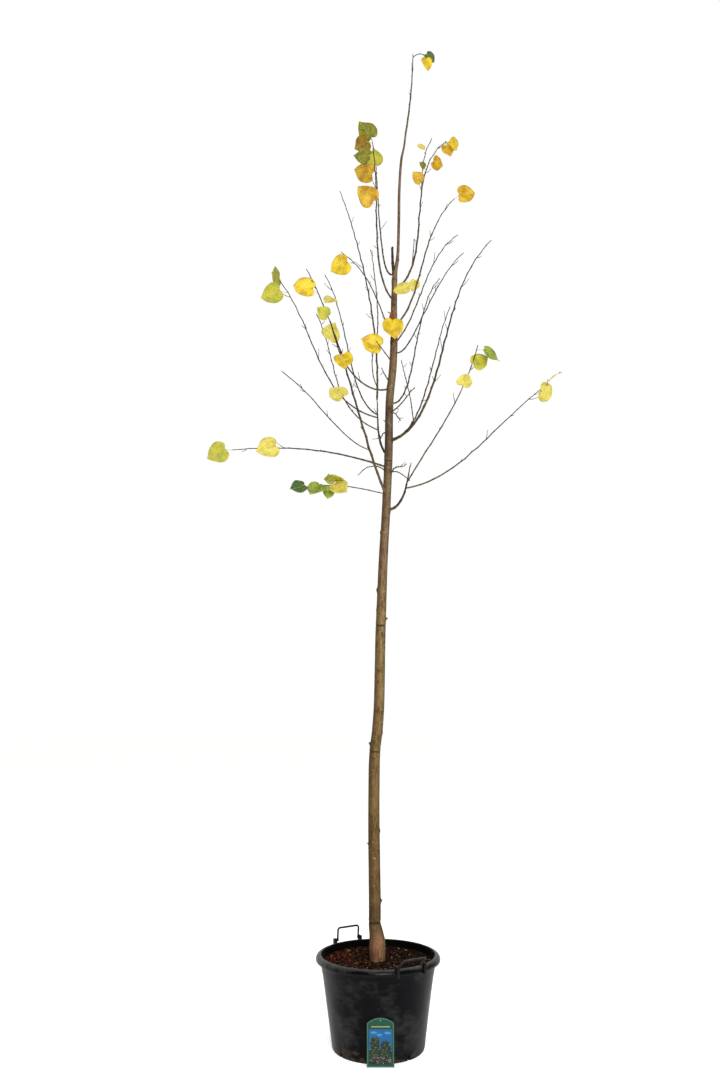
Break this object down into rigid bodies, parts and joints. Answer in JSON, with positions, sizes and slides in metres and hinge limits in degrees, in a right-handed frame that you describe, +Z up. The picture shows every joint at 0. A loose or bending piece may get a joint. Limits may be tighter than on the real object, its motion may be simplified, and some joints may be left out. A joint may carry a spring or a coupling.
{
  "type": "potted tree",
  "caption": "Young linden tree with a slim trunk, long upswept twigs and a few last heart-shaped leaves, growing in a round plastic nursery pot with hinged bail handles.",
  "frame": {"origin": "centre of the pot's flat underside", "axes": "+Z up along the tree, -Y towards the front of the pot, where the label card leans, +X to the right as seen from the front"},
  "size_m": [1.5995, 0.8832, 4.4048],
  "materials": {
    "pot_plastic": "dark charcoal, lightly scuffed",
    "handle_plastic": "black, satin",
    "soil_mulch": "dark red-brown bark mulch over potting soil",
    "card_plastic": "printed card, green with a picture panel",
    "trunk_bark": "smooth young bark, pinkish at the collar",
    "bough_bark": "smooth brown bark",
    "twigs_and_leaves": "red-brown twigs with yellow to green autumn leaves"
  },
  "bodies": {
    "potted_tree": {"bough_back_right": "bough_bark", "bough_high_right_a": "bough_bark", "bough_high_right_b": "bough_bark", "bough_high_right_c": "bough_bark", "bough_high_right_d": "bough_bark", "bough_level_left": "bough_bark", "bough_low_left": "bough_bark", "bough_low_right": "bough_bark", "bough_main_right": "bough_bark", "bough_main_right_back": "bough_bark", "bough_mid_left": "bough_bark", "bough_old_leader": "bough_bark", "bough_top_left_a": "bough_bark", "bough_top_left_b": "bough_bark", "bough_top_right": "bough_bark", "clip_back_1": "handle_plastic", "clip_back_2": "handle_plastic", "clip_front_1": "handle_plastic", "clip_front_2": "handle_plastic", "label_card": "card_plastic", "pot": "pot_plastic", "soil": "soil_mulch", "trunk": "trunk_bark", "twigs_back_left": "twigs_and_leaves", "twigs_back_mid": "twigs_and_leaves", "twigs_back_right": "twigs_and_leaves", "twigs_behind_twig": "twigs_and_leaves", "twigs_cross_twig": "twigs_and_leaves", "twigs_front_left": "twigs_and_leaves", "twigs_front_stub": "twigs_and_leaves", "twigs_high_right_a": "twigs_and_leaves", "twigs_high_right_b": "twigs_and_leaves", "twigs_high_right_c": "twigs_and_leaves", "twigs_high_right_d": "twigs_and_leaves", "twigs_leader": "twigs_and_leaves", "twigs_leaf_left": "twigs_and_leaves", "twigs_level_left": "twigs_and_leaves", "twigs_low_left": "twigs_and_leaves", "twigs_low_right": "twigs_and_leaves", "twigs_main_right": "twigs_and_leaves", "twigs_main_right_back": "twigs_and_leaves", "twigs_mid_left": "twigs_and_leaves", "twigs_slim_left": "twigs_and_leaves", "twigs_swept_left": "twigs_and_leaves", "twigs_thin_left": "twigs_and_leaves", "twigs_top_left_a": "twigs_and_leaves", "twigs_top_left_b": "twigs_and_leaves", "twigs_top_right": "twigs_and_leaves", "twigs_toward_right": "twigs_and_leaves"},
    "back_handle": {"handle_back": "handle_plastic"},
    "front_handle": {"handle_front": "handle_plastic"}
  },
  "joints": [
    {"name": "back_handle_hinge", "type": "hinge", "parent": "potted_tree", "child": "back_handle", "pos_m": [-0.12052, 0.20058, 0.3425], "axis": [-0.8572, -0.515, 0], "range_deg": [-84, 146]},
    {"name": "front_handle_hinge", "type": "hinge", "parent": "potted_tree", "child": "front_handle", "pos_m": [0.11523, -0.20366, 0.3425], "axis": [0.8704, 0.4924, 0], "range_deg": [-138, 92]}
  ]
}
